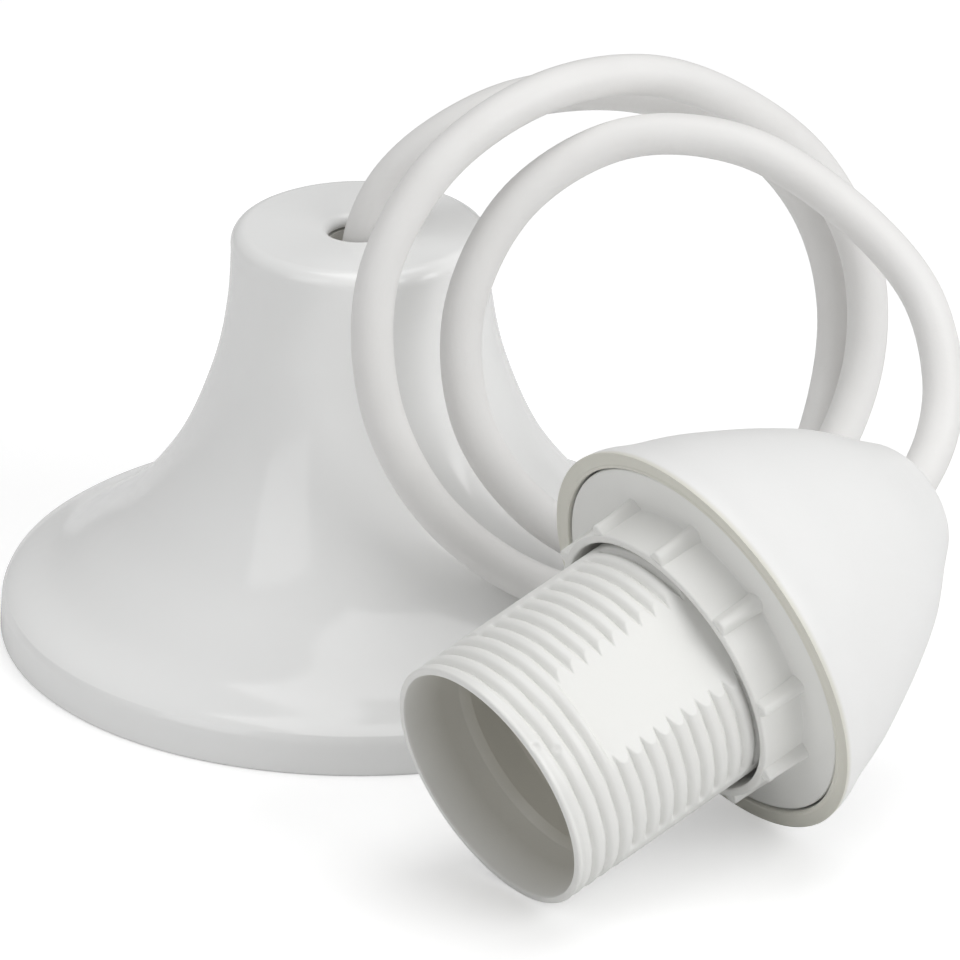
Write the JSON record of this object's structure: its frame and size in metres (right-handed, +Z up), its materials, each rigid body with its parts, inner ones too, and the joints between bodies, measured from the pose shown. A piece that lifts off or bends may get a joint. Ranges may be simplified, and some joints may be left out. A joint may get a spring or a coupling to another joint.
{
  "type": "pendant cord set",
  "caption": "Pendant cord set: trumpet-shaped ceiling rose, white flex in three loose loops, and an E27 lampholder with a bullet-shaped dome, a threaded barrel and a shade ring.",
  "frame": {"origin": "centre of the underside of the bounding box of the rose and the lampholder, on the plane that both stand on", "axes": "+Z up, square to the rose's rim; +Y from the lampholder towards the rose, +X towards the dome's tip side"},
  "size_m": [0.1439, 0.1656, 0.0966],
  "materials": {
    "rose_white": "glossy white moulded plastic",
    "holder_white": "satin white moulded plastic",
    "insulator": "plain white heat-resisting plastic",
    "flex_white": "smooth soft plastic sheath with a satin sheen",
    "brass": "bright drawn brass",
    "plated_steel": "zinc-plated steel",
    "core_brown": "brown core insulation",
    "core_blue": "blue core insulation"
  },
  "bodies": {
    "cord_set": {"ceiling_rose": "rose_white", "suspension_hook": "insulator", "hook_cord_saddle": "insulator", "hook_saddle_screw_left": "plated_steel", "hook_saddle_screw_right": "plated_steel", "terminal_block": "insulator", "terminal_block_screw": "plated_steel", "terminal_tube_live": "brass", "terminal_tube_neutral": "brass", "terminal_screw_live_cord": "plated_steel", "terminal_screw_live_supply": "plated_steel", "terminal_screw_neutral_cord": "plated_steel", "terminal_screw_neutral_supply": "plated_steel", "rose_core_live": "core_brown", "rose_core_neutral": "core_blue", "threaded_barrel": "holder_white", "lampholder_dome": "holder_white", "dome_cord_saddle": "insulator", "dome_saddle_screw_left": "plated_steel", "dome_saddle_screw_right": "plated_steel", "contact_carrier": "insulator", "centre_contact": "brass", "side_contact": "brass", "contact_screw_live": "plated_steel", "contact_screw_neutral": "plated_steel", "holder_core_live": "core_brown", "holder_core_neutral": "core_blue", "flex_cord": "flex_white"},
    "ring": {"shade_ring": "holder_white"}
  },
  "joints": [
    {"name": "shade_ring_turn", "type": "hinge", "parent": "cord_set", "child": "ring", "pos_m": [0.032, -0.04539, 0.02912], "axis": [-0.7503, -0.5968, -0.2842], "range_deg": [0, 360]}
  ]
}
